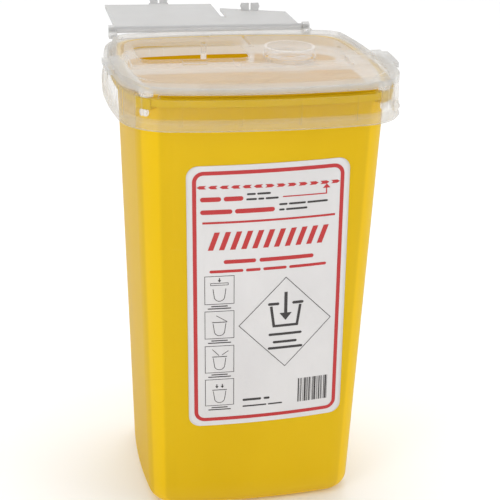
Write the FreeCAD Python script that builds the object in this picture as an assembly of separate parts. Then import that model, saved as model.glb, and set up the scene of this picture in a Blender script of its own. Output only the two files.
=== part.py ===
# One-litre sharps container: an open-topped bin, a translucent lid that snaps onto its rim at
# four corners, a hinged closing flap on the lid, a clear needle-port insert and a front label.
#
# Frame: millimetres, +Z up, front of the container toward -Y.
# Origin: centre of the base, on the plane that the container stands on.

import FreeCAD, Part
import math
import os

Vector = FreeCAD.Vector

# ---- container ----------------------------------------------------------------------------
base_half_x = 40.4
base_half_y = 35.6
rim_half_x = 46.0
rim_half_y = 41.2
rim_height = 164.5
front_bow = 240.0          # radius of the gentle outward bow of the front and back faces
side_bow = 200.0           # the same for the two side faces
base_corner = 11.0
rim_corner = 14.0
base_round = 5.0
wall = 1.4
floor_thickness = 1.8
flange_reach = 3.0         # rolled rim, outside the wall
flange_height = 2.7
flange_below_rim = 2.1     # top of the rolled rim, under the edge of the mouth
foot_depth = 0.8           # hollow under the floor that leaves a standing ring
foot_width = 5.0

# ---- corner snaps between container and lid -----------------------------------------------
socket_width = 6.8
socket_depth = 3.3
socket_height = 3.9
snap_hole_width = 3.8
snap_hole_depth = 1.9
snap_hole_place = 1.75     # middle of the hole, out from the wall
snap_gap = 0.3             # all round between a split prong and its hole
prong_reach = 2.6          # how far the prong comes out under the socket
prong_slit = 0.7

# ---- lid ----------------------------------------------------------------------------------
skirt_gap = 0.7            # between the rolled rim and the inside of the skirt
lid_wall = 1.3
skirt_depth = 12.5         # below the edge of the mouth
skirt_front_corner = 18.0
skirt_back_corner = 11.0
deck_thickness = 1.4
rest_gap = 0.3             # between the edge of the mouth and the underside of the deck
shoulder_drop = 1.8        # shoulder round the back half, below the deck
shoulder_inset = 3.4
front_rise = 1.8           # the front half of the deck stands this much higher
front_start = -2.0         # y where the higher front half begins
front_fall = 1.7           # the higher half slopes down this much toward its front edge
front_fall_run = 11.6
window_half_x = 37.5       # long finger slot between the front edge of the deck and the skirt
window_bottom = 2.1        # below the edge of the mouth
window_height = 2.0
panel_drop = 0.5
bead_out = 0.4
bead_height = 1.2
bead_pitch = 2.6
ledge_reach = 1.3          # finger ledges on both sides
ledge_thickness = 1.8
ledge_length = 17.5
rib_thickness = 0.8
rib_reach = 0.5

# ---- openings of the lid ------------------------------------------------------------------
chute_from_left = 7.0      # left end of the chute, in from the outside of the wall
chute_right = 1.9
chute_front = -2.2
chute_back = 24.0
chute_corner = 5.0
ring_depth = 7.0           # wall that hangs inside the container's mouth
ring_wall = 1.0
ring_gap = 0.5             # between it and the inside of the container
peg_radius = 1.1
peg_length = 6.0
port_x = 16.0
port_y = 0.2

thumb_left = -5.7          # shallow thumb pocket that runs up to the flap's free edge
thumb_right = 10.0
thumb_front = -22.5
thumb_depth = 0.4

# ---- needle port insert -------------------------------------------------------------------
port_radius = 9.3
port_wall = 1.1
port_rise = 3.3            # collar above the deck
port_floor = 1.2
port_skirt = 3.0           # below the deck
port_collar_reach = 0.5
port_collar_height = 0.3
port_fit = 0.05
port_hole = 3.4
port_notch = 6.4           # how far the two hub notches reach from the middle
port_slot_length = 8.0     # thin drain slot in the deck just in front of the port
port_slot_width = 1.6
port_slot_ahead = 1.2

# ---- flap ---------------------------------------------------------------------------------
hinge_from_back = 1.8      # axis forward of the back of the lid
barrel_radius = 1.3
barrel_drop = 0.6          # barrel axis below the middle of the closed flap
hinge_fit = 0.08
pin_radius = 0.9
lug_width = 2.6
lug_gap = 0.3
lug_radius = 1.9
lug_foot = 3.2             # how far each lug's foot runs forward onto the deck
flap_from_left = 3.6       # both ends of the flap, in from the outside of the wall
flap_from_right = 15.0
flap_thickness = 1.2
flap_gap = 0.5             # between the closed flap and the deck
flap_over_chute = 1.0      # closed flap past the front edge of the chute, at its left end
flap_skew = 0.03           # the free edge draws back this much per millimetre to the right
flap_port_gap = 0.7        # between the closed flap and the port collar
flap_port_skew = 0.34      # the same for the short part that closes behind the port
flap_seat_gap = 0.6
flap_seat_front = 12.8     # from the closed edge to the step up to the front half of the deck
slit_x = 3.6
slit_width = 2.4
slit_length = 24.0
tab_width = 8.0
tab_barb = 0.4
tab_thickness = 1.3
tab_slit = 0.9
tab_depth = 3.1            # below the underside of the closed flap
tab_gap = 0.35
long_tab_x = -19.5
long_tab_beyond = 2.4      # tab centre past the free edge
short_tab_x = 16.4
short_tab_beyond = -1.7

# ---- label --------------------------------------------------------------------------------
label_half_x = 28.8
label_bottom = 36.6
label_below_rim = 25.6
label_shift = 2.2
label_tilt = 1.3           # degrees, stuck on slightly askew
label_corner = 4.2
label_thickness = 0.2

# ---- sizes that follow --------------------------------------------------------------------
skirt_bottom = rim_height - skirt_depth
chute_left = -rim_half_x + chute_from_left
flap_left = -rim_half_x + flap_from_left
flap_right = rim_half_x - flap_from_right
label_top = rim_height - label_below_rim
flange_top = rim_height - flange_below_rim
flange_bottom = flange_top - flange_height
deck_underside = rim_height + rest_gap
deck_top = deck_underside + deck_thickness
front_top = deck_top + front_rise
shoulder_top = deck_top - shoulder_drop
lid_out = flange_reach + skirt_gap + lid_wall
lid_half_x = rim_half_x + lid_out
lid_half_y = rim_half_y + lid_out
hinge_y = lid_half_y - hinge_from_back
closed_flap_z = deck_top + flap_gap + flap_thickness / 2
hinge_z = closed_flap_z - barrel_drop
seat_front = chute_front - flap_over_chute - flap_seat_front


def bowed_outline(half_x, half_y, bow_y, bow_x, corner):
    """Points of one quarter of a bowed rectangle: side point, corner start, corner end, front point."""
    front_centre = Vector(0, half_y - bow_y, 0)
    side_centre = Vector(half_x - bow_x, 0, 0)
    reach_front = bow_y - corner
    reach_side = bow_x - corner
    between = side_centre - front_centre
    gap = between.Length
    along = (reach_front ** 2 - reach_side ** 2 + gap ** 2) / (2 * gap)
    across = math.sqrt(reach_front ** 2 - along ** 2)
    unit = between * (1 / gap)
    centre = front_centre + unit * along + Vector(unit.y, -unit.x, 0) * across
    to_front = (centre - front_centre) * (1 / reach_front)
    to_side = (centre - side_centre) * (1 / reach_side)
    middle = (to_front + to_side).normalize()
    return {
        "side": Vector(half_x, 0, 0),
        "corner_start": centre + to_side * corner,
        "corner_middle": centre + middle * corner,
        "corner_end": centre + to_front * corner,
        "front": Vector(0, half_y, 0),
        "outward": middle,
    }


def bowed_wire(half_x, half_y, bow_y, bow_x, front_corner, back_corner, z):
    """Closed outline of eight arcs: four gently bowed sides and four round corners."""
    front = bowed_outline(half_x, half_y, bow_y, bow_x, front_corner)
    back = bowed_outline(half_x, half_y, bow_y, bow_x, back_corner)

    def place(name, sx, sy):
        point = (back if sy > 0 else front)[name]
        return Vector(point.x * sx, point.y * sy, z)

    edges = []
    signs = [(1, 1), (-1, 1), (-1, -1), (1, -1)]
    for index, (sx, sy) in enumerate(signs):
        first, last = ("corner_start", "corner_end") if index % 2 == 0 else ("corner_end", "corner_start")
        edges.append(Part.Arc(place(first, sx, sy), place("corner_middle", sx, sy), place(last, sx, sy)).toShape())
        next_x, next_y = signs[(index + 1) % 4]
        middle = place("front", sx, sy) if index % 2 == 0 else place("side", sx, sy)
        edges.append(Part.Arc(place(last, sx, sy), middle, place(last, next_x, next_y)).toShape())
    return Part.Wire(edges)


def container_wire(z, out=0.0):
    """Outline of the tapering container wall at a height, moved outward by a distance."""
    t = z / rim_height
    half_x = base_half_x + (rim_half_x - base_half_x) * t + out
    half_y = base_half_y + (rim_half_y - base_half_y) * t + out
    corner = base_corner + (rim_corner - base_corner) * t + out
    return bowed_wire(half_x, half_y, front_bow + out, side_bow + out, corner, corner, z)


def lid_wire(z, out=0.0):
    """Outline of the lid at a height, moved outward by a distance."""
    return bowed_wire(lid_half_x + out, lid_half_y + out, front_bow + lid_out + out, side_bow + lid_out + out,
                      skirt_front_corner + out, skirt_back_corner + out, z)


def between(wires):
    """Solid that runs straight from outline to outline."""
    return Part.makeLoft(wires, True, True)


def container_block(z0, z1, out0=0.0, out1=None):
    return between([container_wire(z0, out0), container_wire(z1, out0 if out1 is None else out1)])


def lid_block(z0, z1, out0=0.0, out1=None):
    return between([lid_wire(z0, out0), lid_wire(z1, out0 if out1 is None else out1)])


def box(x0, x1, y0, y1, z0, z1):
    return Part.makeBox(x1 - x0, y1 - y0, z1 - z0, Vector(x0, y0, z0))


def rounded_box(x0, x1, y0, y1, z0, z1, radius):
    """Upright box with its four standing edges rounded."""
    shape = box(x0, x1, y0, y1, z0, z1)
    standing = [edge for edge in shape.Edges if abs(edge.tangentAt(edge.FirstParameter).z) > 0.9]
    return shape.makeFillet(radius, standing)


def prism(points, z0, z1):
    """Upright prism over a closed run of (x, y) points."""
    loop = [Vector(x, y, z0) for x, y in points]
    return Part.Face(Part.makePolygon(loop + loop[:1])).extrude(Vector(0, 0, z1 - z0))


def rod(radius, length, start, direction=Vector(0, 0, 1)):
    return Part.makeCylinder(radius, length, start, direction)


def join(first, others):
    return first.fuse(others).removeSplitter()


def corner_frames():
    """Place and turn of the four corner snaps: local +Y points out of the container's corner."""
    quarter = bowed_outline(rim_half_x, rim_half_y, front_bow, side_bow, rim_corner)
    frames = []
    for sx in (1, -1):
        for sy in (1, -1):
            corner = quarter["corner_middle"]
            outward = quarter["outward"]
            turn = math.degrees(math.atan2(outward.y * sy, outward.x * sx)) - 90
            frames.append(FreeCAD.Placement(Vector(corner.x * sx, corner.y * sy, 0),
                                            FreeCAD.Rotation(Vector(0, 0, 1), turn)))
    return frames


def at_corners(shape):
    """Four copies of a shape drawn in the corner's own frame."""
    copies = []
    for frame in corner_frames():
        copy = shape.copy()
        copy.Placement = frame
        copies.append(copy)
    return copies


# ---- container: one injection moulding, open at the top ------------------------------------
def rounded_bottom_block(z0, z1, out, radius):
    """Block of the container's shape whose bottom edge is rounded."""
    steps = [math.radians(angle) for angle in (0, 22.5, 45, 67.5, 90)]
    wires = [container_wire(z0 + radius * (1 - math.cos(a)), out - radius * (1 - math.sin(a))) for a in steps]
    return join(Part.makeLoft(wires, True, False), [container_block(z0 + radius, z1, out)])


def make_container():
    outer = rounded_bottom_block(0, rim_height, 0, base_round)
    hollow = rounded_bottom_block(floor_thickness + foot_depth, rim_height + 1, -wall, base_round - wall)
    foot = container_block(-1, foot_depth, -base_round - foot_width)

    # rolled rim: a flat flange with a turned-down edge, and a socket for a snap at each corner
    flange = container_block(flange_bottom, flange_top, flange_reach)
    under = container_block(flange_bottom - 1, flange_top - wall, flange_reach - wall)
    sockets = at_corners(box(-socket_width / 2, socket_width / 2, -wall, socket_depth,
                             flange_top - socket_height, flange_top))
    holes = at_corners(box(-snap_hole_width / 2, snap_hole_width / 2,
                           snap_hole_place - snap_hole_depth / 2, snap_hole_place + snap_hole_depth / 2,
                           flange_top - socket_height - 1, rim_height + 1))
    socket_limit = container_block(flange_top - socket_height, flange_top, socket_depth)
    shell = join(outer, [flange.cut(under)] + [socket.common(socket_limit) for socket in sockets])
    return shell.cut([hollow, foot] + holes)


# ---- lid: one translucent moulding with the skirt, the two-level deck and its fittings -----
def front_slope(below):
    """What lies above the gentle slope along the front of the higher half, moved down by a distance."""
    start = -lid_half_y + front_fall_run
    far = start - 4 * front_fall_run
    profile = [(start, front_top), (far, front_top - 4 * front_fall), (far, front_top + 9), (start, front_top + 9)]
    loop = [Vector(-200, y, z - below) for y, z in profile]
    return Part.Face(Part.makePolygon(loop + loop[:1])).extrude(Vector(400, 0, 0))


def make_skirt_and_deck():
    low = join(between([lid_wire(skirt_bottom), lid_wire(shoulder_top - 1.6, -0.4),
                        lid_wire(shoulder_top - 0.7, -1.3), lid_wire(shoulder_top, -2.9)]),
               [lid_block(shoulder_top - 1, deck_top, -shoulder_inset)])
    high = between([lid_wire(skirt_bottom), lid_wire(front_top - 1.2, -0.4), lid_wire(front_top, -1.4)])
    high = high.cut(front_slope(0))
    front_half = box(-100, 100, -100, front_start, 0, 300)
    seat_right = flap_right + lug_gap + lug_width + flap_seat_gap
    seat = box(flap_left - flap_seat_gap, seat_right, seat_front, 100, deck_top, 300)
    outer = join(low, [high.common(front_half).cut(seat)])

    # the hollow follows the outside at the wall thickness, one level under each level of the deck
    low_inside = join(lid_block(skirt_bottom - 1, shoulder_top - deck_thickness, -lid_wall - 0.1, -lid_wall - 0.4),
                      [lid_block(shoulder_top - 3, deck_underside, -shoulder_inset - lid_wall)])
    high_inside = lid_block(skirt_bottom - 1, front_top - deck_thickness, -lid_wall, -lid_wall - 0.6)
    high_inside = high_inside.cut(front_slope(deck_thickness))
    behind_step = box(-100, 100, -100, front_start - lid_wall, 0, 300)
    under_seat = box(flap_left - flap_seat_gap - lid_wall, seat_right + lid_wall,
                     seat_front - lid_wall, 100, deck_underside, 300)
    return outer.cut([low_inside, high_inside.common(behind_step).cut(under_seat)])


def chute_hole(grow, z0, z1):
    return rounded_box(chute_left - grow, chute_right + grow, chute_front - grow, chute_back + grow,
                       z0, z1, chute_corner + grow)


def make_mouth_ring():
    """Wall that hangs from the deck all round, just inside the container's mouth, with small ribs."""
    bottom = deck_underside - ring_depth
    top = deck_underside + 0.3
    out = -wall - ring_gap
    ring = container_block(bottom, top, out).cut(container_block(bottom - 1, top + 1, out - ring_wall))
    ribs = []
    for share in (-0.66, -0.54, 0.2, 0.66):
        x = share * rim_half_x
        ribs.append(box(x - 0.3, x + 0.3, 0, 100, bottom + 0.3, top))
    zone = container_block(bottom, top, out - 0.3).cut(container_block(bottom - 1, top + 1, out - ring_wall - 0.5))
    return join(ring, [rib.common(zone) for rib in ribs])


def make_prong(width, depth, top, length, slit, barb):
    """Split snap prong that points down: two fingers with a round-nosed barb on the outer sides."""
    fingers = []
    finger = (width - 2 * barb - slit) / 2
    for side in (1, -1):
        inner = side * slit / 2
        stem_out = side * (slit / 2 + finger)
        barb_out = side * width / 2
        low = top - length
        profile = [(inner, top), (stem_out, top), (stem_out, low + 2.2), (barb_out, low + 1.3),
                   (stem_out, low), (inner, low)]
        loop = [Vector(x, -depth / 2, z) for x, z in profile]
        fingers.append(Part.Face(Part.makePolygon(loop + loop[:1])).extrude(Vector(0, depth, 0)))
    return fingers


def make_corner_snaps():
    """Boss under the deck at each corner, with a split prong that passes through the rim's socket."""
    boss_bottom = flange_top + rest_gap
    length = socket_height + rest_gap + prong_reach
    snaps = []
    for frame in corner_frames():
        deck = front_top if frame.Base.y < front_start else deck_top
        boss = box(-snap_hole_width / 2 - 1.2, snap_hole_width / 2 + 1.2, rest_gap + 0.5, socket_depth,
                   boss_bottom, deck - deck_thickness + 0.2)
        fingers = make_prong(snap_hole_width - 2 * snap_gap, snap_hole_depth - 2 * snap_gap,
                             boss_bottom, length, prong_slit, 0.3)
        for finger in fingers:
            finger.translate(Vector(0, snap_hole_place, 0))
        snap = join(boss, fingers)
        snap.Placement = frame
        snaps.append(snap)
    return snaps


def make_skirt_ribs():
    """Guide ribs that centre the skirt on the rolled rim."""
    ribs = []
    height = flange_top - skirt_bottom - 1.5
    for side in (1, -1):
        for share in (-0.66, -0.51, -0.36, 0.36, 0.51, 0.66):
            y = share * rim_half_y
            x = side * (lid_half_x - lid_wall - 1.0)
            ribs.append(box(x - 1.5, x + 1.5, y - rib_thickness / 2, y + rib_thickness / 2,
                            skirt_bottom + 1.5, skirt_bottom + 1.5 + height))
        for share in (-0.65, -0.22, 0.22, 0.65):
            x = share * rim_half_x
            y = side * (lid_half_y - lid_wall - 1.0)
            ribs.append(box(x - rib_thickness / 2, x + rib_thickness / 2, y - 2.5, y + 1.5,
                            skirt_bottom + 1.5, skirt_bottom + 1.5 + height))
    zone = lid_block(skirt_bottom, flange_top, -0.6).cut(lid_block(skirt_bottom - 1, flange_top + 1,
                                                                 -lid_wall - rib_reach))
    return [rib.common(zone) for rib in ribs]


def make_beads():
    """Two beads that run right round the bottom of the skirt."""
    beads = []
    for level in range(2):
        z = skirt_bottom + level * bead_pitch
        mid = z + bead_height / 2
        ring = between([lid_wire(z, 0.0), lid_wire(mid, bead_out), lid_wire(z + bead_height, 0.0)])
        beads.append(ring.cut(lid_block(z - 1, z + bead_height + 1, -0.6)))
    return beads


def make_ledges():
    """Finger ledges along both sides of the higher front half."""
    ledges = []
    for side in (1, -1):
        x = side * (lid_half_x - 4)
        strip = rounded_box(min(x, side * 90), max(x, side * 90), front_start - ledge_length, front_start,
                            front_top - 0.6 - ledge_thickness, front_top - 0.6, 1.5)
        zone = lid_block(front_top - 5, front_top + 1, ledge_reach).cut(lid_block(front_top - 6, front_top + 2, -0.8))
        ledges.append(strip.common(zone))
    return ledges


def make_lugs():
    """Hinge lugs that stand on the deck at both ends of the flap's barrel, with their pin bores."""
    lugs = []
    for x in (flap_left - lug_gap - lug_width, flap_right + lug_gap):
        back_edge_bow = max(abs(x), abs(x + lug_width)) ** 2 / (2 * front_bow)
        foot = box(x, x + lug_width, hinge_y - lug_foot - back_edge_bow, hinge_y, deck_underside + 0.2, hinge_z)
        post = box(x, x + lug_width, hinge_y - lug_radius, hinge_y + lug_radius, shoulder_top - 0.8, hinge_z)
        head = rod(lug_radius, lug_width, Vector(x, hinge_y, hinge_z), Vector(1, 0, 0))
        lugs.append(join(foot, [post, head]))
    return lugs


def make_lid():
    shell = make_skirt_and_deck()
    pegs = [(chute_left - 3.2, 15.5), (-11.0, chute_back + 3.6), (chute_right + 4.2, 20.5),
            (rim_half_x - 7.0, 16.5)]
    added = [rod(peg_radius, peg_length + 0.5, Vector(x, y, deck_underside - peg_length)) for x, y in pegs]
    added.append(make_mouth_ring())
    added.append(box(chute_right + 3.6, chute_right + 4.8, chute_back - 1.0, rim_half_y - wall - ring_gap - 0.5,
                     deck_underside - 1.6, deck_underside + 0.3))
    added.append(rod(1.2, 0.5, Vector(-9.0, chute_back + 8.0, deck_top - 0.1)))
    added += make_corner_snaps() + make_skirt_ribs() + make_beads() + make_ledges() + make_lugs()
    shell = join(shell, added)

    # holes and shallow pockets
    panel_front = -lid_half_y + 6.0
    panel_side = lid_half_x - 7.0
    panel_back = seat_front - 10.5
    corner_back = seat_front - 6.5
    panel = prism([(-panel_side, panel_back), (panel_side - 17, panel_back), (panel_side - 11, corner_back),
                   (panel_side, corner_back), (panel_side, panel_front), (-panel_side, panel_front)],
                  front_top - panel_drop, front_top + 1)
    cuts = [chute_hole(0, deck_underside - 1, deck_top + 1)]
    cuts.append(panel.common(lid_block(front_top - 3, front_top + 2, -5.0)))
    window_low = rim_height - window_bottom
    window = rounded_box(-window_half_x, window_half_x, window_low, window_low + window_height, 0, lid_out, 0.8)
    window.rotate(Vector(0, 0, 0), Vector(1, 0, 0), 90)
    window.translate(Vector(0, -lid_half_y + lid_out - 0.2, 0))
    cuts.append(window)
    cuts.append(rod(port_radius + port_fit, 20, Vector(port_x, port_y, deck_underside - 10)))
    for x, beyond in tab_places:
        y = closed_edge(x) - beyond
        cuts.append(box(x - tab_width / 2 - tab_gap, x + tab_width / 2 + tab_gap,
                        y - tab_thickness / 2 - tab_gap, y + tab_thickness / 2 + tab_gap,
                        deck_underside - 0.5, deck_top + 1))
    slot_y = port_y - port_radius - port_collar_reach - port_slot_ahead
    cuts.append(box(port_x, port_x + port_slot_length, slot_y - port_slot_width, slot_y,
                    deck_underside - 0.5, deck_top + 1))
    thumb = rounded_box(thumb_left, thumb_right, thumb_front, seat_front + 1, front_top - thumb_depth, front_top + 1, 1.0)
    cuts.append(thumb)
    cuts.append(rounded_box(thumb_left, thumb_right, seat_front, closed_edge(thumb_left) - 2.0,
                            deck_top - thumb_depth, deck_top + 1, 0.9))
    bore = rod(pin_radius + hinge_fit, 2 * (lug_width + lug_gap) + flap_right - flap_left + 2,
               Vector(flap_left - lug_gap - lug_width - 1, hinge_y, hinge_z), Vector(1, 0, 0))
    cuts.append(bore)
    return shell.cut(cuts)


# ---- flap: plate, barrel with end pins, and two split snap tabs ----------------------------
tab_places = [(long_tab_x, long_tab_beyond), (short_tab_x, short_tab_beyond)]


def closed_edge(x):
    """Y of the closed flap's free edge. The part right of the slit runs just behind the port."""
    if x < slit_x:
        return chute_front - flap_over_chute + flap_skew * (x - flap_left)
    clear = (port_radius + flap_port_gap) * math.sqrt(1 + flap_port_skew ** 2)
    return port_y + clear + flap_port_skew * (x - port_x)


def opened(y):
    """Where a point of the closed flap lies when the flap is folded back level."""
    return 2 * hinge_y - y


def make_flap():
    """Drawn lying open and level behind the lid."""
    under = hinge_z - barrel_drop - flap_thickness / 2
    over = under + flap_thickness
    left_of_slit = slit_x - slit_width / 2
    right_of_slit = slit_x + slit_width / 2
    slit_end = opened(closed_edge(left_of_slit)) - slit_length
    outline = [(flap_left, hinge_y), (flap_right, hinge_y), (flap_right, opened(closed_edge(flap_right))),
               (right_of_slit, opened(closed_edge(right_of_slit))), (right_of_slit, slit_end),
               (left_of_slit, slit_end), (left_of_slit, opened(closed_edge(left_of_slit - 0.01))),
               (flap_left, opened(closed_edge(flap_left)))]
    plate = prism(outline, under, over).cut(rod(slit_width / 2, 10, Vector(slit_x, slit_end, hinge_z - 5)))
    barrel = rod(barrel_radius, flap_right - flap_left, Vector(flap_left, hinge_y, hinge_z), Vector(1, 0, 0))
    pin_length = lug_gap + lug_width - 0.2
    added = [barrel]
    for start in (flap_left - pin_length, flap_right - 1):
        added.append(rod(pin_radius, pin_length + 1, Vector(start, hinge_y, hinge_z), Vector(1, 0, 0)))

    for x, beyond in tab_places:
        y = opened(closed_edge(x) - beyond)
        root = opened(closed_edge(x)) - 3.0
        added.append(box(x - tab_width / 2, x + tab_width / 2, root, y + tab_thickness / 2, under, over))
        for finger in make_prong(tab_width, tab_thickness, 0, tab_depth, tab_slit, tab_barb):
            finger.rotate(Vector(0, 0, 0), Vector(1, 0, 0), 180)
            finger.translate(Vector(x, y, over))
            added.append(finger)
    return join(plate, added)


# ---- needle port: clear insert pressed into the round hole of the deck ---------------------
def make_needle_port():
    top = deck_top + port_rise
    bottom = deck_underside - port_skirt
    centre = Vector(port_x, port_y, bottom)
    body = rod(port_radius, top - bottom, centre)
    collar = rod(port_radius + port_collar_reach, port_collar_height, Vector(port_x, port_y, deck_top))
    upper = rod(port_radius - port_wall, 30, Vector(port_x, port_y, deck_top))
    lower = rod(port_radius - port_wall, deck_top - port_floor - bottom, centre)
    hole = rod(port_hole, 60, centre - Vector(0, 0, 10))
    notches = prism([(port_x - port_notch, port_y - 0.6), (port_x, port_y - 1.8), (port_x + port_notch, port_y - 0.6),
                     (port_x + port_notch, port_y + 0.6), (port_x, port_y + 1.8), (port_x - port_notch, port_y + 0.6)],
                    bottom - 1, top + 1)
    return join(body, [collar]).cut([upper, lower, hole, notches])


# ---- label: thin printed sheet stuck to the front face --------------------------------------
def make_label():
    skin = container_block(label_bottom - 20, label_top + 20, label_thickness)
    skin = skin.cut(container_block(label_bottom - 21, label_top + 21))
    middle = (label_bottom + label_top) / 2
    half_z = (label_top - label_bottom) / 2
    cutter = rounded_box(-label_half_x, label_half_x, -half_z, half_z, 0, 100, label_corner)
    cutter.rotate(Vector(0, 0, 0), Vector(0, 0, 1), label_tilt)
    cutter.rotate(Vector(0, 0, 0), Vector(1, 0, 0), 90)
    cutter.translate(Vector(label_shift, 0, middle))
    return skin.common(cutter)


pieces = {
    "container": make_container,
    "lid": make_lid,
    "flap": make_flap,
    "needle_port": make_needle_port,
    "label": make_label,
}

os.makedirs("parts", exist_ok=True)
for name, make in pieces.items():
    shape = make()
    shape.exportStep(f"parts/{name}.step")
    bounds = shape.BoundBox
    print(f"{name:12s} solids {len(shape.Solids)} valid {shape.isValid()} volume {shape.Volume / 1000:.2f} cm3"
          f" x {bounds.XMin:.1f}..{bounds.XMax:.1f} y {bounds.YMin:.1f}..{bounds.YMax:.1f}"
          f" z {bounds.ZMin:.1f}..{bounds.ZMax:.1f}")
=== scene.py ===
import math

import bmesh
import bpy
from mathutils import Matrix, Vector


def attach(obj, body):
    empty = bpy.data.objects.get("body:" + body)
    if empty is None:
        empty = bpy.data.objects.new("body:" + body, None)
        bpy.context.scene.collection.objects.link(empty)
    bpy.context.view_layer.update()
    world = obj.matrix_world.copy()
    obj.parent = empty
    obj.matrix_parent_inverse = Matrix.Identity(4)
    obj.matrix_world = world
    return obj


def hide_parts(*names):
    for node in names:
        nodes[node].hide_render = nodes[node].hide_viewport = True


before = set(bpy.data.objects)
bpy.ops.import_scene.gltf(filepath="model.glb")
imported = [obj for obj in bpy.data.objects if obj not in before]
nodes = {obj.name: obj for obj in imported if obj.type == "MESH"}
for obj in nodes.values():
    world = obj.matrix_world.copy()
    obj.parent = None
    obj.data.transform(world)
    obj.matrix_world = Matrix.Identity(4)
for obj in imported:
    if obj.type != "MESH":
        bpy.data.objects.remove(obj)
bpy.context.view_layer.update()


# ---- Container: the tapered bin that everything else sits on.
# Injection moulded in one piece from opaque yellow polypropylene, with a semi-gloss skin that
# shows a faint orange peel, slow drifts of colour from the melt, and light scuffs from handling.
class Shade:
    """A socket of the material being made. Written sums and products become Math nodes."""

    def __init__(self, tree, socket=None):
        self.tree = tree
        self.socket = socket

    def node(self, kind, settings=(), sockets=(), output=0):
        """Adds a node: settings first, then a value or a link for each socket, and returns one output."""
        added = self.tree.nodes.new(kind)
        for name, value in dict(settings).items():
            setattr(added, name, value)
        for name, value in dict(sockets).items():
            if isinstance(value, Shade):
                self.tree.links.new(value.socket, added.inputs[name])
            else:
                added.inputs[name].default_value = value
        return Shade(self.tree, added.outputs[output])

    def sum_of(self, operation, first, second):
        return self.node("ShaderNodeMath", {"operation": operation}, {0: first, 1: second})

    def __add__(self, other):
        return self.sum_of("ADD", self, other)

    def __radd__(self, other):
        return self.sum_of("ADD", other, self)

    def __sub__(self, other):
        return self.sum_of("SUBTRACT", self, other)

    def __rsub__(self, other):
        return self.sum_of("SUBTRACT", other, self)

    def __mul__(self, other):
        return self.sum_of("MULTIPLY", self, other)

    def __rmul__(self, other):
        return self.sum_of("MULTIPLY", other, self)

    def size(self):
        """Without its sign."""
        return self.node("ShaderNodeMath", {"operation": "ABSOLUTE"}, {0: self})

    def most(self, other):
        """The larger of two."""
        return self.sum_of("MAXIMUM", self, other)

    def band(self, low, high):
        """0 below low, 1 above high, smooth between."""
        return self.node("ShaderNodeMapRange", {"interpolation_type": "SMOOTHSTEP"},
                         {"Value": self, "From Min": low, "From Max": high})

    def mix(self, factor, first, second):
        """A colour between two colours."""
        return self.node("ShaderNodeMix", {"data_type": "RGBA"}, {0: factor, 6: first, 7: second}, 2)

    def place(self, stretch=(1, 1, 1)):
        """Position on the piece in metres, stretched along its axes."""
        spot = self.node("ShaderNodeTexCoord", output=3)
        return self.node("ShaderNodeVectorMath", {"operation": "MULTIPLY"}, {0: spot, 1: stretch})

    def cloud(self, size, detail=2.0, stretch=(1, 1, 1), distortion=0.0):
        """Noise whose lumps are about size metres across, 0 to 1."""
        return self.node("ShaderNodeTexNoise", (), {"Vector": self.place(stretch), "Scale": 1 / size,
                                                    "Detail": detail, "Distortion": distortion})

    def axis(self, name):
        """X, Y or Z of the position on the piece."""
        spot = self.node("ShaderNodeTexCoord", output=3)
        return self.node("ShaderNodeSeparateXYZ", (), {0: spot}, "XYZ".index(name))

    def bump(self, height, distance, strength=1.0, edge=0.0):
        """Raised and sunk skin, over edges that are rounded by a small radius in metres."""
        sockets = {"Height": height, "Distance": distance, "Strength": strength}
        if edge:
            sockets["Normal"] = self.node("ShaderNodeBevel", {"samples": 4}, {"Radius": edge})
        return self.node("ShaderNodeBump", (), sockets)


def new_material(name):
    material = bpy.data.materials.new(name)
    material.use_nodes = True
    material.node_tree.nodes.clear()
    return material, Shade(material.node_tree)


def finish_material(material, shade, sockets, glow=0.0, glow_colour=None, cover=None):
    """Puts a surface on the output. Glow is the share of light that comes through from behind, in
    glow_colour, and cover says how much of what is behind the surface is hidden."""
    surface = shade.node("ShaderNodeBsdfPrincipled", (), sockets)
    if glow:
        back_lit = shade.node("ShaderNodeBsdfTranslucent", (), {"Color": glow_colour})
        surface = shade.node("ShaderNodeMixShader", (), {0: glow, 1: surface, 2: back_lit})
    if cover is not None:
        clear = shade.node("ShaderNodeBsdfTransparent")
        surface = shade.node("ShaderNodeMixShader", (), {0: cover, 1: clear, 2: surface})
    output = material.node_tree.nodes.new("ShaderNodeOutputMaterial")
    material.node_tree.links.new(surface.socket, output.inputs["Surface"])


def dress(piece, material):
    piece.data.materials.clear()
    piece.data.materials.append(material)


foot_half_x, foot_half_y = 0.0404, 0.0356
wall_lean = 0.034                     # how far the walls lean out for each metre up
side_bow, front_bow = 0.200, 0.240    # radii of the gentle outward bow of the walls


def off_axis(along, across, bow):
    """How far out a place is, measured along one axis, with the bow of the wall there taken off."""
    return along.size() + across * across * (1 / (2 * bow))


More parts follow.
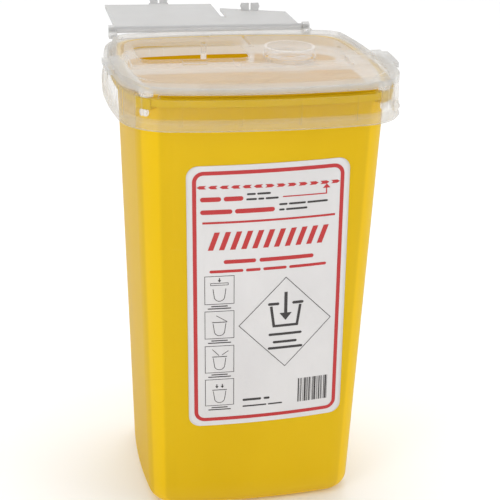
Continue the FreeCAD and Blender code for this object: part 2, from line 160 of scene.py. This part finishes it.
def yellow_polypropylene():
    material, shade = new_material("yellow_polypropylene")
    drift = shade.cloud(0.045, 3, (1, 1, 0.5))
    speck = shade.cloud(0.0006, 2)
    rub = shade.cloud(0.0016, 4, (0.25, 0.25, 3), 0.6).band(0.64, 0.80)
    foot = 1 - shade.axis("Z").band(0.0, 0.012)
    colour = shade.mix(drift.band(0.3, 0.7), (0.750, 0.520, 0.002, 1), (0.790, 0.555, 0.004, 1))
    colour = shade.mix(speck.band(0.55, 0.95) * 0.25, colour, (0.70, 0.40, 0.006, 1))
    # paler where scuffed, and paler again in the lowest 12 mm towards the foot
    colour = shade.mix(rub * 0.10 + foot * 0.10, colour, (0.88, 0.66, 0.22, 1))
    peel = shade.cloud(0.0011, 2)
    # every face inside the outer skin, the underside too, is given a little of the light that
    # comes through the thin walls
    x, y, lean = shade.axis("X"), shade.axis("Y"), shade.axis("Z") * wall_lean
    past_side = off_axis(x, y, side_bow) - lean - foot_half_x
    past_front = off_axis(y, x, front_bow) - lean - foot_half_y
    inside = 1 - past_side.most(past_front).band(-0.0012, -0.0006)
    wall_glow = shade.mix(inside, (0, 0, 0, 1), (0.55, 0.37, 0.0, 1))
    finish_material(material, shade, {
        "Emission Color": wall_glow, "Emission Strength": 0.30,
        "Base Color": colour, "Roughness": 0.36 + drift * 0.08 + rub * 0.14,
        "IOR": 1.49, "Specular IOR Level": 0.22,
        "Normal": shade.bump(peel + speck * 0.4, 0.00003, 0.5, 0.0005)},
        glow=0.30, glow_colour=(0.768, 0.535, 0.004, 1))
    return material


dress(nodes["container"], yellow_polypropylene())


# ---- Lid: the pushed-on cover with its skirt, two-level deck, hinge lugs and corner prongs.
# Moulded in one piece from natural polypropylene, left uncoloured: milky in the deck and in the
# ring that hangs inside the mouth, nearly clear in the skirt, with faint flow marks.
lid_out = 0.0049                          # how far the skirt stands out from the container
skirt_side, skirt_front = 0.0450, 0.0405  # where the skirt starts, on the sides and on the ends
skirt_blend = 0.0015
deck_low, deck_high = 0.1640, 0.1652      # the heights between which the deck takes over
bead_low, bead_high = 0.1556, 0.1562      # and those at which the two beads end


def lid_polypropylene():
    material, shade = new_material("lid_polypropylene")
    x, y, z = (shade.axis(name) for name in "XYZ")
    flow = shade.cloud(0.022, 3, (1, 1, 1), 1.2)
    grain = shade.cloud(0.0005, 2)
    side = off_axis(x, y, side_bow + lid_out).band(skirt_side, skirt_side + skirt_blend)
    end = off_axis(y, x, front_bow + lid_out).band(skirt_front, skirt_front + skirt_blend)
    skirt = side.most(end)
    # the rear half of the deck lies lower than the front half, and the shoulder round it lower still
    rear_drop = y.band(-0.010, 0.030) * 0.0035
    top = (z + rear_drop).band(deck_low, deck_high)
    beads = 1 - z.band(bead_low, bead_high)
    shoulder, deck, inner = top * skirt, top * (1 - skirt), (1 - top) * (1 - skirt)
    colour = shade.mix(flow.band(0.25, 0.75), (0.62, 0.62, 0.615, 1), (0.70, 0.70, 0.695, 1))
    colour = shade.mix(grain.band(0.5, 0.9) * 0.12, colour, (0.95, 0.95, 0.94, 1))
    sheen = shade.node("ShaderNodeFresnel", (), {"IOR": 1.35})
    cover = 0.03 + inner * 0.84 + deck * 0.11 + shoulder * 0.44 + beads * skirt * 0.16
    cover = cover + (flow - 0.5) * 0.04 + sheen * 0.34
    # light that has wandered through the plastic comes out of its milky inner parts
    scattered = shade.mix(inner + deck * 0.4, (0, 0, 0, 1), (0.50, 0.49, 0.475, 1))
    finish_material(material, shade, {
        "Base Color": colour, "Roughness": 0.22 + flow * 0.08 + grain * 0.04, "IOR": 1.49,
        "Specular IOR Level": 0.4, "Emission Color": scattered, "Emission Strength": 0.8,
        "Normal": shade.bump(flow + grain, 0.00002, 0.06)},
        glow=0.35, glow_colour=(0.67, 0.67, 0.665, 1), cover=cover)
    return material


dress(nodes["lid"], lid_polypropylene())


# ---- Flap: the closing plate that turns on the back edge of the lid.
# The same uncoloured polypropylene in a thinner plate, a little greyer and more even, with its
# barrel, end pins and the two split snap tabs moulded on.
def flap_polypropylene():
    material, shade = new_material("flap_polypropylene")
    flow = shade.cloud(0.03, 3, (1, 1, 1), 0.8)
    grain = shade.cloud(0.0005, 2)
    colour = shade.mix(flow.band(0.25, 0.75), (0.50, 0.50, 0.503, 1), (0.55, 0.55, 0.553, 1))
    colour = shade.mix(grain.band(0.5, 0.9) * 0.10, colour, (0.85, 0.85, 0.85, 1))
    finish_material(material, shade, {
        "Base Color": colour, "Roughness": 0.34 + flow * 0.08 + grain * 0.04, "IOR": 1.49,
        "Specular IOR Level": 0.35, "Normal": shade.bump(flow + grain, 0.00002, 0.12)},
        glow=0.30, glow_colour=(0.53, 0.53, 0.533, 1), cover=0.57 + (flow - 0.5) * 0.05)
    return material


dress(nodes["flap"], flap_polypropylene())


# ---- Needle port: the round insert pressed into the deck, where a needle is held and twisted off.
# Moulded from clear polypropylene with polished tool faces, so it is the glassiest part of the lid.
def clear_polypropylene():
    material, shade = new_material("clear_polypropylene")
    flow = shade.cloud(0.009, 2, (1, 1, 1), 0.8)
    colour = shade.mix(flow.band(0.3, 0.7), (0.86, 0.865, 0.87, 1), (0.93, 0.93, 0.93, 1))
    finish_material(material, shade, {
        "Base Color": colour, "Roughness": 0.07 + flow * 0.06, "Alpha": 0.24 + (flow - 0.5) * 0.12,
        "IOR": 1.49, "Specular IOR Level": 0.9, "Coat Weight": 1.0, "Coat Roughness": 0.04,
        "Normal": shade.bump(flow, 0.00004, 0.4)})
    return material


dress(nodes["needle_port"], clear_polypropylene())


# ---- Label sheet: the printed sheet stuck a degree askew on the front of the container.
# A white satin film with rounded corners, rolled down by hand so that it follows the bowed wall.
mouth_half_y, mouth_height = 41.2, 164.5  # in millimetres, as the rest of this section is
foot_half_y_mm, front_bow_mm = foot_half_y * 1000, front_bow * 1000
label_half_width, label_half_height, label_corner = 28.8, 51.15, 4.2
label_middle, label_shift, label_turn = 87.75, 2.2, math.radians(1.3)


def on_front(u, v, out):
    """Point in metres that is u mm right and v mm up from the label's middle, out mm off the wall."""
    x = label_shift + u * math.cos(label_turn) - v * math.sin(label_turn)
    z = label_middle + u * math.sin(label_turn) + v * math.cos(label_turn)
    depth = foot_half_y_mm + (mouth_half_y - foot_half_y_mm) * z / mouth_height + out
    radius = front_bow_mm + out
    y = -(depth - radius + math.sqrt(radius * radius - x * x))
    return Vector((x, y, z)) / 1000


def sheet_mesh(name, rows, out):
    """Sheet from rows of (u, v) places that all have the same count."""
    shape = bmesh.new()
    grid = [[shape.verts.new(on_front(u, v, out)) for u, v in row] for row in rows]
    for low, high in zip(grid, grid[1:]):
        for index in range(len(low) - 1):
            shape.faces.new((low[index], low[index + 1], high[index + 1], high[index]))
    mesh = bpy.data.meshes.new(name)
    shape.to_mesh(mesh)
    shape.free()
    mesh.shade_smooth()
    piece = bpy.data.objects.new(name, mesh)
    bpy.context.scene.collection.objects.link(piece)
    return piece


def label_rows():
    turns = [math.radians(90 * step / 10) for step in range(11)]
    heights = [-label_half_height + label_corner * (1 - math.cos(turn)) for turn in turns]
    count = 40
    inner = label_half_height - label_corner
    heights += [-inner + 2 * inner * step / count for step in range(1, count)]
    heights += [-value for value in reversed(heights[:11])]
    rows = []
    for v in heights:
        past = max(0.0, abs(v) - inner)
        half = label_half_width - label_corner + math.sqrt(max(0.0, label_corner ** 2 - past ** 2))
        rows.append([(-half + 2 * half * step / 36, v) for step in range(37)])
    return rows


def label_film():
    material, shade = new_material("label_film")
    tooth = shade.cloud(0.0004, 3)
    wave = shade.cloud(0.016, 2, (1, 1, 0.6))
    fibre = shade.cloud(0.0012, 3, (1, 1, 0.3))
    colour = shade.mix(wave.band(0.3, 0.7), (0.615, 0.600, 0.595, 1), (0.650, 0.635, 0.628, 1))
    colour = shade.mix(fibre.band(0.5, 0.9) * 0.15, colour, (0.56, 0.55, 0.54, 1))
    finish_material(material, shade, {
        "Base Color": colour, "Roughness": 0.42 + wave * 0.12, "IOR": 1.45,
        "Normal": shade.bump(tooth * 0.5 + wave * 3, 0.00003, 0.35)})
    return material


label_sheet = sheet_mesh("label_sheet", label_rows(), 0.2)
dress(label_sheet, label_film())
body = label_sheet.modifiers.new("film", "SOLIDIFY")
body.thickness = 0.00018
body.offset = -1
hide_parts("label")
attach(label_sheet, "bin")


# ---- Label print: the red and the dark ink on the sheet.
# A border, a fill line of small arrows and rules in red; a thin diamond with a bin, four small
# step pictures, and stripes in dark ink. Plain bars stand where lines of wording would be.
ink_out = 0.24
facet = 1.5                               # the longest stretch of ink that is left straight


class Ink:
    """Gathers flat printed shapes, all in one ink, and makes them one piece that hugs the label."""

    def __init__(self):
        self.shape = bmesh.new()

    def strip(self, pairs):
        """Faces between pairs of (u, v) places that run side by side."""
        rows = [(self.shape.verts.new(on_front(*a, ink_out)), self.shape.verts.new(on_front(*b, ink_out)))
                for a, b in pairs]
        for (a, b), (c, d) in zip(rows, rows[1:]):
            self.shape.faces.new((a, c, d, b))

    def bar(self, left, right, low, high, lean=0.0):
        """Straight-ended bar; lean moves its top edge to the right."""
        steps = max(1, math.ceil((right - left) / facet))
        places = [left + (right - left) * step / steps for step in range(steps + 1)]
        self.strip([((u, low), (u + lean, high)) for u in places])

    def word(self, left, right, middle, height):
        """Bar with round ends."""
        r = height / 2
        turns = [math.radians(15 * step) for step in range(7)]
        places = [(left + r - r * math.cos(t), r * math.sin(t)) for t in turns]
        steps = max(1, math.ceil((right - left - 2 * r) / facet))
        places += [(left + r + (right - left - 2 * r) * step / steps, r) for step in range(1, steps)]
        places += [(right - r + r * math.cos(t), r * math.sin(t)) for t in reversed(turns)]
        self.strip([((u, middle - half), (u, middle + half)) for u, half in places])

    def line(self, places, width, closed=False):
        """Line of even width through places, mitred at its corners."""
        fine = []
        loop = places + places[:1] if closed else places
        for (u0, v0), (u1, v1) in zip(loop, loop[1:]):
            steps = max(1, math.ceil(math.hypot(u1 - u0, v1 - v0) / facet))
            fine += [(u0 + (u1 - u0) * step / steps, v0 + (v1 - v0) * step / steps)
                     for step in range(steps)]
        if not closed:
            fine.append(loop[-1])
        pairs = []
        count = len(fine)
        for index in range(count + (1 if closed else 0)):
            here = Vector(fine[index % count])
            before = Vector(fine[(index - 1) % count]) if closed or index > 0 else here
            after = Vector(fine[(index + 1) % count]) if closed or index < count - 1 else here
            coming = (here - before).normalized() if here != before else (after - here).normalized()
            going = (after - here).normalized() if after != here else coming
            across = Vector((-coming.y - going.y, coming.x + going.x)).normalized()
            stretch = width / 2 / max(0.35, across.dot(Vector((-going.y, going.x))))
            pairs.append((tuple(here - across * stretch), tuple(here + across * stretch)))
        self.strip(pairs)

    def patch(self, places):
        """Small filled shape."""
        self.shape.faces.new([self.shape.verts.new(on_front(u, v, ink_out)) for u, v in places])

    def piece(self, name, material):
        bmesh.ops.recalc_face_normals(self.shape, faces=self.shape.faces)
        mesh = bpy.data.meshes.new(name)
        self.shape.to_mesh(mesh)
        self.shape.free()
        piece = bpy.data.objects.new(name, mesh)
        bpy.context.scene.collection.objects.link(piece)
        dress(piece, material)
        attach(piece, "bin")


def rounded_frame(half_u, half_v, radius):
    """Places round a rounded rectangle about the label's middle."""
    places = []
    for quarter, (su, sv) in enumerate(((1, 1), (-1, 1), (-1, -1), (1, -1))):
        for step in range(9):
            turn = math.radians(90 * quarter + 90 * step / 8)
            places.append((su * (half_u - radius) + radius * math.cos(turn),
                           sv * (half_v - radius) + radius * math.sin(turn)))
    return places


red = Ink()
red.line(rounded_frame(26.1, 48.5, 3.2), 1.4, closed=True)
# the fill line: small arrows that point away from its middle
arrow = ((1.7, 0), (0.7, 0.62), (-1.6, 0.62), (-0.9, 0), (-1.6, -0.62), (0.7, -0.62))
arrow_count, arrow_pitch, arrow_fall = 13, 3.93, 0.07
for index in range(arrow_count):
    u = -23.6 + index * arrow_pitch
    v = 43.4 - index * arrow_fall
    way = -1 if index < arrow_count // 2 else 1
    red.patch([(u + way * along, v + across) for along, across in arrow])
red.line([(4.7, 38.6), (20.4, 38.5), (20.4, 40.6)], 0.45)
red.patch([(19.0, 40.5), (21.8, 40.5), (20.4, 42.1)])
red.bar(-23.4, 23.9, 29.8, 30.6)
slant_pitch, slant_width, slant_lean = 3.9, 1.9, 2.4
for index in range(11):
    left = -21.6 + index * slant_pitch
    red.bar(left, left + slant_width, 19.8, 26.6, slant_lean)
for left, right, middle, height in (
        (-24.1, -16.9, 38.9, 1.7), (-16.0, -9.2, 38.9, 1.7), (-24.1, -13.0, 34.2, 1.7),
        (-12.1, 1.9, 34.2, 1.7), (-16.0, -4.5, 15.2, 1.5), (-3.3, 16.4, 15.2, 1.5),
        (-21.0, -9.0, 11.6, 1.1), (-8.1, -2.8, 11.6, 1.1), (-1.9, 6.6, 11.6, 1.1),
        (7.5, 21.2, 11.6, 1.1)):
    red.word(left, right, middle, height)

dark = Ink()
for left, right, middle in (
        (-8.0, -4.9, 40.3), (-4.4, 0.4, 40.3), (-8.2, -4.5, 38.4), (-4.0, -1.9, 38.4),
        (-1.4, 3.2, 38.4), (3.4, 6.4, 35.8), (6.9, 13.0, 35.8), (13.5, 21.0, 35.8),
        (3.4, 5.4, 33.8), (5.9, 13.6, 33.8)):
    dark.word(left, right, middle, 0.75)
dark.line([(6.5, 7.6), (23.6, -10.3), (6.7, -28.4), (-10.5, -10.4)], 0.26, closed=True)
# inside the diamond: a bin, its two rims, an arrow into it and three bars under it
bin_u, bin_v = 6.6, -4.6
dark.line([(bin_u - 5.4, bin_v + 1.0), (bin_u - 4.3, bin_v - 7.0), (bin_u + 4.3, bin_v - 7.0),
           (bin_u + 5.4, bin_v + 1.0)], 1.0)
dark.bar(bin_u - 0.6, bin_u + 0.6, bin_v - 2.0, bin_v + 6.4)
dark.patch([(bin_u - 2.3, bin_v - 1.9), (bin_u, bin_v - 4.9), (bin_u + 2.3, bin_v - 1.9)])
for left, right, middle, height in (
        (bin_u - 6.6, bin_u - 2.4, bin_v + 1.9, 1.1), (bin_u + 2.4, bin_u + 6.6, bin_v + 1.9, 1.1),
        (bin_u - 6.2, bin_u + 6.2, -15.0, 1.0), (bin_u - 4.6, bin_u + 4.4, -18.2, 1.0),
        (bin_u - 6.4, bin_u + 6.6, -20.6, 1.0), (-9.0, -2.0, -41.2, 0.95),
        (-1.1, 1.2, -41.2, 0.95), (-9.0, 0.0, -43.9, 0.6), (0.6, 6.0, -43.9, 0.6)):
    dark.word(left, right, middle, height)
# plain stripes, each as wide as its first number and as far from the next as its second
stripe, stripe_unit = 11.9, 0.16
for wide, gap in ((3, 2), (1, 1), (2, 3), (1, 2), (4, 1), (1, 1), (2, 2), (3, 1), (1, 3), (1, 1),
                  (2, 1), (4, 2), (1, 1), (1, 2), (3, 2), (2, 1), (1, 3), (2, 1), (4, 1), (1, 1)):
    dark.bar(stripe, stripe + wide * stripe_unit, -44.4, -34.4)
    stripe += (wide + gap) * stripe_unit

# four step pictures: a small bin each time, with the lid going on, the flap, the lift and the press
picture_u, picture_half, picture_depth = -17.5, 5.2, 10.9
floor_radius, bin_top = 1.9, 6.0
fine_line, thin_line, lid_line = 0.22, 0.24, 0.3
for step, top in enumerate((9.8, -4.0, -18.0, -31.8)):
    low = top - picture_depth
    u = picture_u
    dark.line([(u - picture_half, low), (u + picture_half, low), (u + picture_half, top),
               (u - picture_half, top)], fine_line, closed=True)
    turns = [math.radians(angle) for angle in range(200, 341, 20)]
    bend = [(u + floor_radius * math.cos(turn), low + 3.0 + floor_radius * math.sin(turn)) for turn in turns]
    dark.line([(u - 2.3, low + bin_top)] + bend + [(u + 2.3, low + bin_top)], thin_line)
    if step == 0:
        dark.line([(u - 3.1, low + 7.4), (u + 3.1, low + 7.4), (u + 3.1, low + 8.2), (u - 3.1, low + 8.2)],
                  fine_line, closed=True)
    else:
        dark.line([(u - 2.7, low + 6.5), (u + 2.7, low + 6.5)], lid_line)
    if step == 1:
        dark.line([(u + 2.7, low + 6.7), (u - 1.2, low + 9.2)], thin_line)
    if step == 2:
        dark.line([(u - 0.2, low + 7.0), (u - 2.6, low + 9.6)], thin_line)
        dark.line([(u + 0.9, low + 7.2), (u + 3.2, low + 8.8)], thin_line)
    for shift, tip in {0: ((0, 8.5),), 3: ((-1.0, 7.2), (1.0, 7.2))}.get(step, ()):
        middle, point = u + shift, low + tip
        dark.line([(middle, point + 1.7), (middle, point + 0.7)], 0.35)
        dark.patch([(middle - 0.65, point + 0.9), (middle, point), (middle + 0.65, point + 0.9)])
    dark.word(u - 3.0, u + 3.0, low - 0.9, 0.42)
    dark.word(u - 4.2, u + 4.2, low - 1.8, 0.42)


def printing_ink(name, colour, thin):
    material, shade = new_material(name)
    lay = shade.cloud(0.0007, 3)
    pool = shade.cloud(0.008, 2)
    film = shade.mix(lay.band(0.45, 0.85) * 0.35 + pool * 0.15, colour, thin)
    finish_material(material, shade, {
        "Base Color": film, "Roughness": 0.38 + lay * 0.15, "IOR": 1.45,
        "Normal": shade.bump(lay, 0.00002, 0.3)})
    return material


red.piece("label_red_ink", printing_ink("red_ink", (0.44, 0.018, 0.020, 1), (0.50, 0.05, 0.045, 1)))
dark.piece("label_dark_ink", printing_ink("dark_ink", (0.030, 0.026, 0.026, 1), (0.09, 0.08, 0.08, 1)))


# ---- Studio: a pale matt floor, and soft round lamps to the left, low in front, right and above.
# The surroundings are white, and brighter behind the object than in front of it.
def pale_floor():
    material, shade = new_material("pale_floor")
    drift = shade.cloud(0.3, 3)
    colour = shade.mix(drift, (0.90, 0.90, 0.90, 1), (0.94, 0.94, 0.94, 1))
    finish_material(material, shade, {"Base Color": colour, "Roughness": 0.7 + drift * 0.1,
                                      "Normal": shade.bump(drift, 0.0001, 0.2)})
    return material


floor_mesh = bpy.data.meshes.new("floor")
reach = 4
floor_mesh.from_pydata([(-reach, -reach, 0), (reach, -reach, 0), (reach, reach, 0), (-reach, reach, 0)],
                       [], [(0, 1, 2, 3)])
floor = bpy.data.objects.new("floor", floor_mesh)
bpy.context.scene.collection.objects.link(floor)
floor.location.z = -0.0001                # just under the standing ring
dress(floor, pale_floor())


aim = Vector((0, 0, 0.09))                # near the middle of the container


def soft_lamp(name, place, size, watts):
    data = bpy.data.lights.new(name, "AREA")
    data.shape = "DISK"
    data.size = size
    data.energy = watts
    lamp = bpy.data.objects.new(name, data)
    lamp.location = place
    lamp.rotation_euler = (aim - Vector(place)).to_track_quat("-Z", "Y").to_euler()
    bpy.context.scene.collection.objects.link(lamp)


soft_lamp("left_lamp", (-0.9, -0.7, 0.9), 0.5, 2.6)
soft_lamp("low_lamp", (-0.2, -1.3, 0.15), 0.7, 4.4)
soft_lamp("right_lamp", (1.0, -0.6, 0.7), 0.6, 2.2)
soft_lamp("top_lamp", (0.1, 0.5, 1.3), 0.6, 4.5)

world = bpy.data.worlds.new("studio")
bpy.context.scene.world = world
world.use_nodes = True
sky = Shade(world.node_tree)
backdrop = world.node_tree.nodes["Background"]
direction = sky.node("ShaderNodeTexCoord", output=0)
towards_back = sky.node("ShaderNodeSeparateXYZ", (), {0: direction}, 1)
strength = 0.58 + towards_back.band(-0.5, 0.2) * 0.52
backdrop.inputs["Color"].default_value = (1, 1, 1, 1)
world.node_tree.links.new(strength.socket, backdrop.inputs["Strength"])
bpy.context.scene.view_settings.view_transform = "Standard"


# ---- Camera: a little to the left of the front, looking down on the lid, and turned 1.5 degrees
# about its own line of sight. It stands half a metre off, with a narrow angle of view.
camera_distance, camera_lens = 0.49466, 92.61
camera_aim, aim_shift = Vector((0, 0.002106, 0.089879)), 0.00365  # the shift is to the camera's right


def place_camera():
    azimuth, elevation, roll = math.radians(-11.83), math.radians(22.19), math.radians(1.51)
    back = Vector((math.sin(azimuth) * math.cos(elevation), -math.cos(azimuth) * math.cos(elevation),
                   math.sin(elevation)))
    right = Vector((math.cos(azimuth), math.sin(azimuth), 0))
    up = back.cross(right)
    turned_right = right * math.cos(roll) + up * math.sin(roll)
    turned_up = up * math.cos(roll) - right * math.sin(roll)
    target = camera_aim + right * aim_shift
    camera = bpy.data.objects.new("camera", bpy.data.cameras.new("camera"))
    bpy.context.scene.collection.objects.link(camera)
    turn = Matrix((turned_right, turned_up, back)).transposed()
    camera.matrix_world = Matrix.Translation(target + back * camera_distance) @ turn.to_4x4()
    camera.data.lens = camera_lens
    camera.data.sensor_width = 36
    camera.data.clip_start = 0.01
    bpy.context.scene.camera = camera


place_camera()
